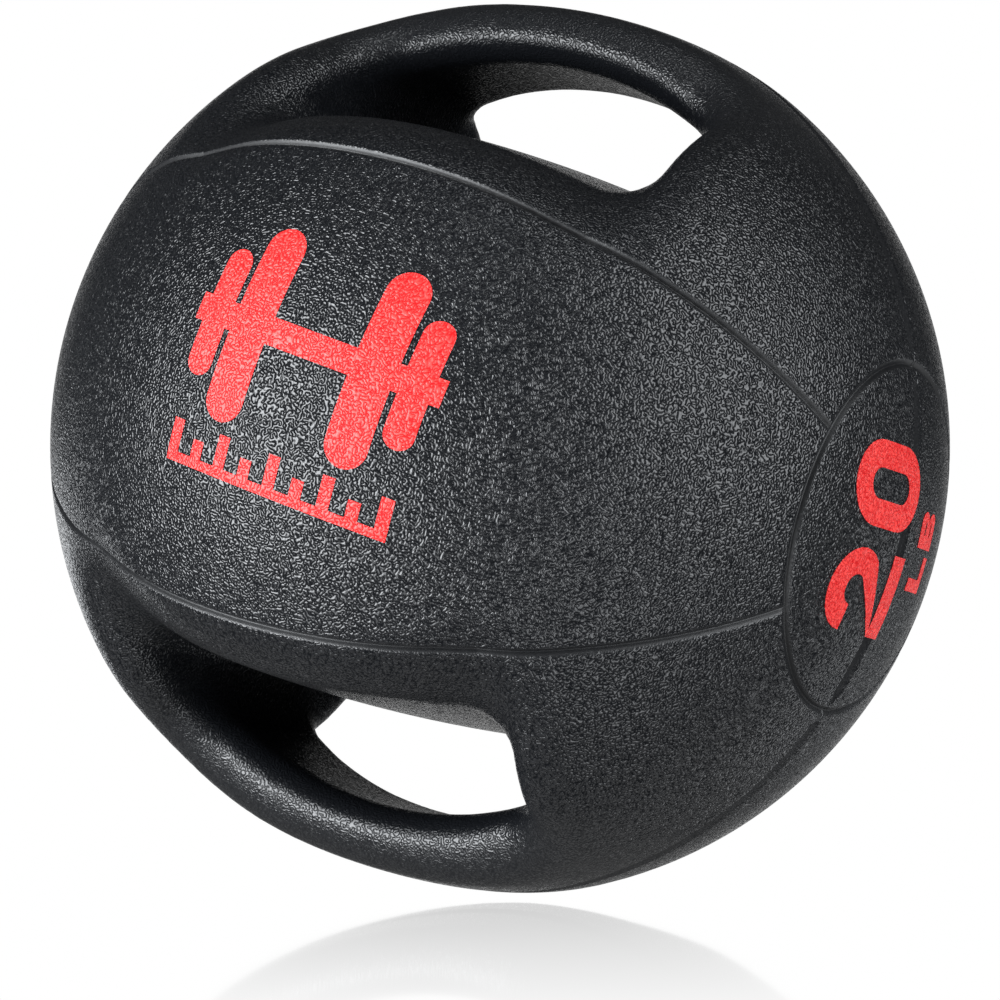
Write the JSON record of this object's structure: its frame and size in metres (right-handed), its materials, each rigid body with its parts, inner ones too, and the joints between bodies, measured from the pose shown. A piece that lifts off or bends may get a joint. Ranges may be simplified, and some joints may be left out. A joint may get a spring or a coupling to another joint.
{
  "type": "medicine ball",
  "caption": "Round rubber medicine ball with moulded hand grips above and below, pebble grain, panel grooves and a weight marking on one end disc.",
  "frame": {"origin": "centre of the ball", "axes": "+Z to the middle of the upper grip, the lower grip at -Z; -Y to the large front panel; +X to the end disc with the weight marking; the hand tunnels run along Y and the mould line lies in the plane Y = 0"},
  "size_m": [0.2754, 0.2751, 0.27],
  "materials": {
    "cover_rubber": "satin black, moulded pebble grain, smooth in the grooves",
    "print_red": "red printed film that follows the grain",
    "core_nylon": "cord-reinforced nylon",
    "ballast_rubber": "filled rubber, coarse",
    "carcass_cord": "wound nylon yarn in rubber",
    "bladder_butyl": "smooth butyl",
    "valve_rubber": "smooth, satin"
  },
  "bodies": {
    "root": {"front_cover": "cover_rubber", "rear_cover": "cover_rubber", "upper_grip_core": "core_nylon", "lower_grip_core": "core_nylon", "front_ballast": "ballast_rubber", "rear_ballast": "ballast_rubber", "carcass": "carcass_cord", "bladder": "bladder_butyl", "valve_housing": "valve_rubber", "valve_core": "valve_rubber", "front_emblem": "print_red", "emblem_strip": "print_red", "weight_digit_two": "print_red", "weight_digit_zero": "print_red", "unit_letter_l": "print_red", "unit_letter_b": "print_red"}
  },
  "joints": []
}
